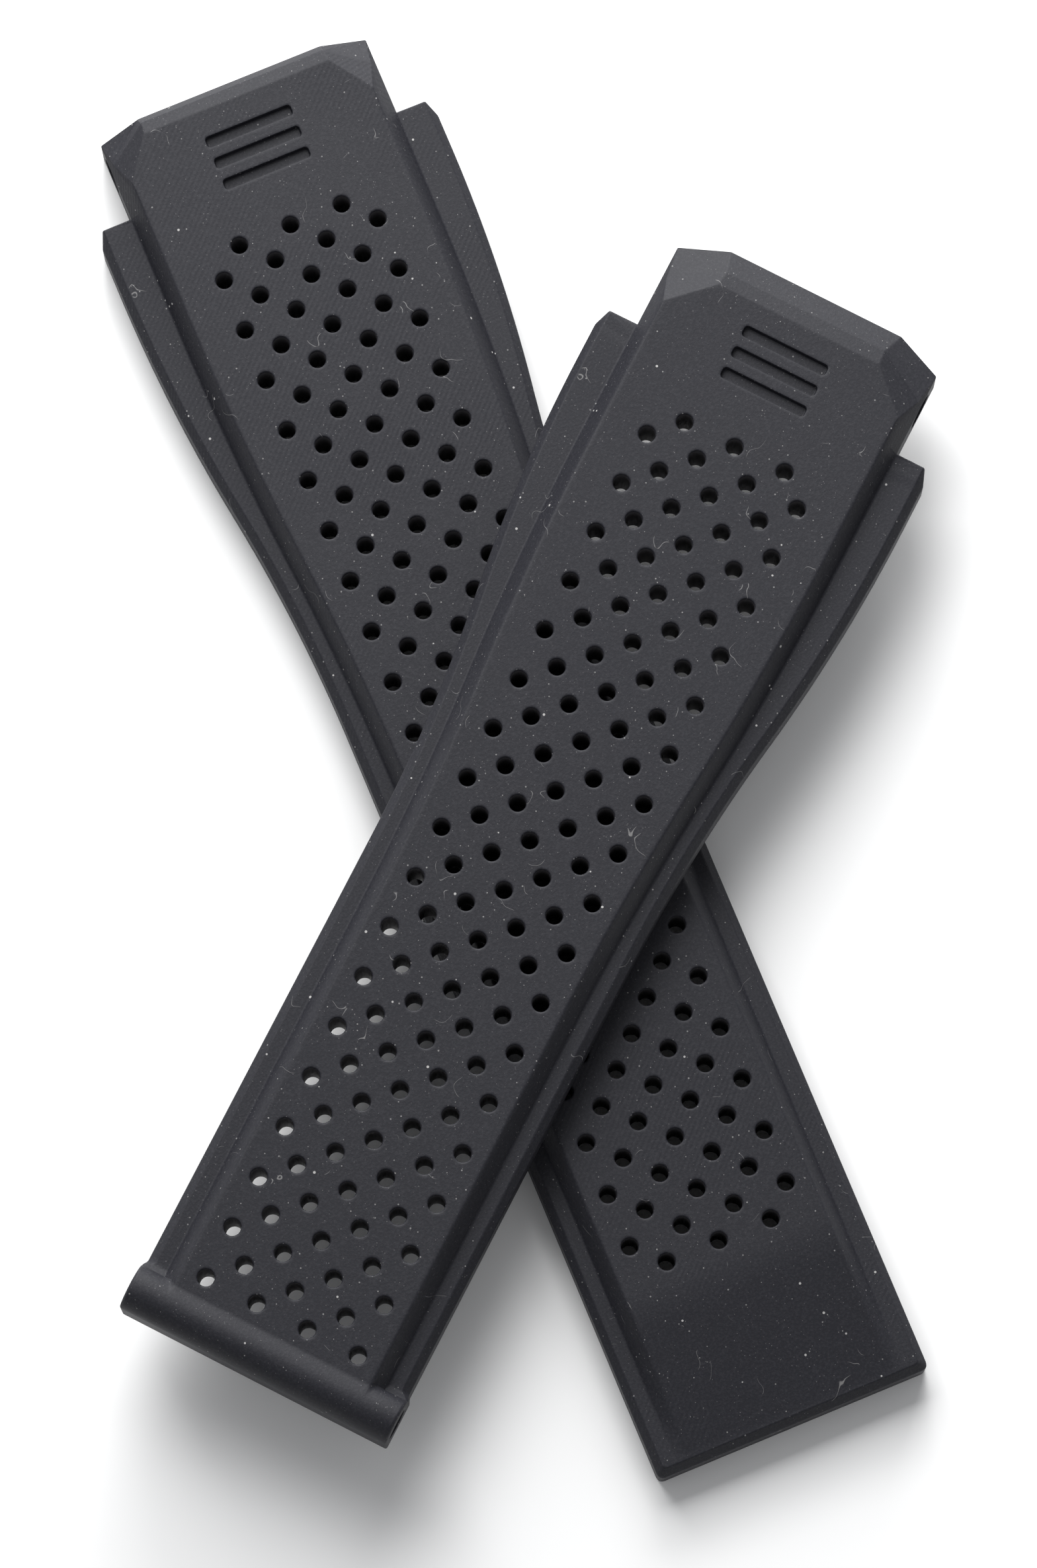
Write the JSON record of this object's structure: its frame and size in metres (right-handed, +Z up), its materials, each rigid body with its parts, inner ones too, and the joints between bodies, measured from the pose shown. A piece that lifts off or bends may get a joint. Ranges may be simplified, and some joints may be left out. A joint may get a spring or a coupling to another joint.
{
  "type": "watch strap",
  "caption": "Rubber sport watch strap in two perforated pieces, crossed: notched faceted heads with lined bar holes, raised field, low flanks and a rounded clasp end.",
  "frame": {"origin": "centre of the bounding box, on the table that the long piece lies on", "axes": "+Z up out of the perforated face, +Y away from the viewer towards both heads, +X to the right"},
  "size_m": [0.0534, 0.0926, 0.0092],
  "materials": {
    "strap_rubber": "matte moulded rubber, slightly dusty",
    "tube_steel": "drawn stainless tube"
  },
  "bodies": {
    "long_piece": {"long_strap": "strap_rubber", "long_head_tube": "tube_steel"},
    "short_piece": {"short_strap": "strap_rubber", "short_head_tube": "tube_steel", "clasp_end_tube": "tube_steel"}
  },
  "joints": [
    {"name": "short_piece_lift", "type": "slide", "parent": "long_piece", "child": "short_piece", "axis": [0, 0, 1], "range_m": [0, 0.05]}
  ]
}
